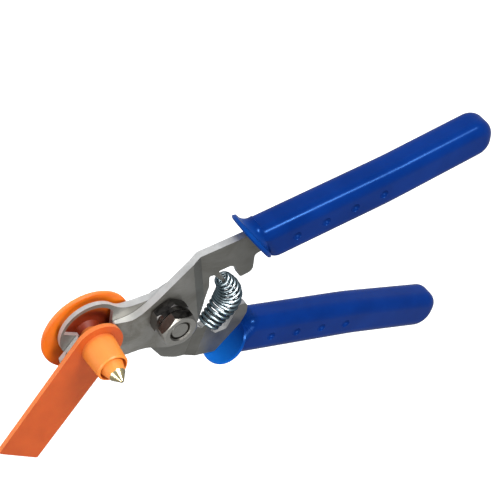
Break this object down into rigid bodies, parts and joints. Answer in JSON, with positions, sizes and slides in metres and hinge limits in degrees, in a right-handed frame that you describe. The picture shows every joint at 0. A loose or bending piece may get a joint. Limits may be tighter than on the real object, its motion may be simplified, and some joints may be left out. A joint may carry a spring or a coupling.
{
  "type": "hook-jaw nippers",
  "caption": "hand nippers with thin hooked jaws that slide past each other, sprung handles with guarded moulded grips, holding a two-piece plastic tag by its stem",
  "frame": {"origin": "centre of the pivot bolt's flat outer head face, on the pivot axis, at the back of the tool", "axes": "+X runs from the jaws to the handles, +Y points to the handle drawn uppermost, +Z runs along the pivot bolt from its head to its nuts"},
  "size_m": [0.2035, 0.1081, 0.0337],
  "materials": {
    "lever_steel": "satin stamped steel",
    "grip_plastic": "glossy moulded plastic",
    "bolt_steel": "dark bright plating",
    "spring_zinc": "bright zinc plating",
    "tag_plastic": "soft satin plastic",
    "tag_brass": "turned brass"
  },
  "bodies": {
    "lower_half": {"back_lever": "lever_steel", "lower_grip": "grip_plastic", "pivot_bolt": "bolt_steel", "pivot_nut": "bolt_steel", "lock_washer": "bolt_steel", "lock_nut": "bolt_steel", "handle_spring": "spring_zinc"},
    "upper_half": {"front_lever": "lever_steel", "upper_grip": "grip_plastic"},
    "tag_stem": {"tag_button": "tag_plastic", "tag_tip": "tag_brass"},
    "tag_plate": {"tag_flag": "tag_plastic"}
  },
  "joints": [
    {"name": "jaw_pivot", "type": "hinge", "parent": "lower_half", "child": "upper_half", "pos_m": [0, 0, 0.0054], "axis": [0, 0, 1], "range_deg": [-20, 18], "stiffness_Nm_per_rad": 0.6, "deforming": ["handle_spring"]},
    {"name": "stem_spin", "type": "hinge", "parent": "lower_half", "child": "tag_stem", "pos_m": [-0.0284, -0.0043, 0.0054], "axis": [0, 0, 1], "continuous": true},
    {"name": "flag_swing", "type": "hinge", "parent": "lower_half", "child": "tag_plate", "pos_m": [-0.0284, -0.0043, 0.0054], "axis": [0, 0, 1], "range_deg": [-180, 85]}
  ]
}
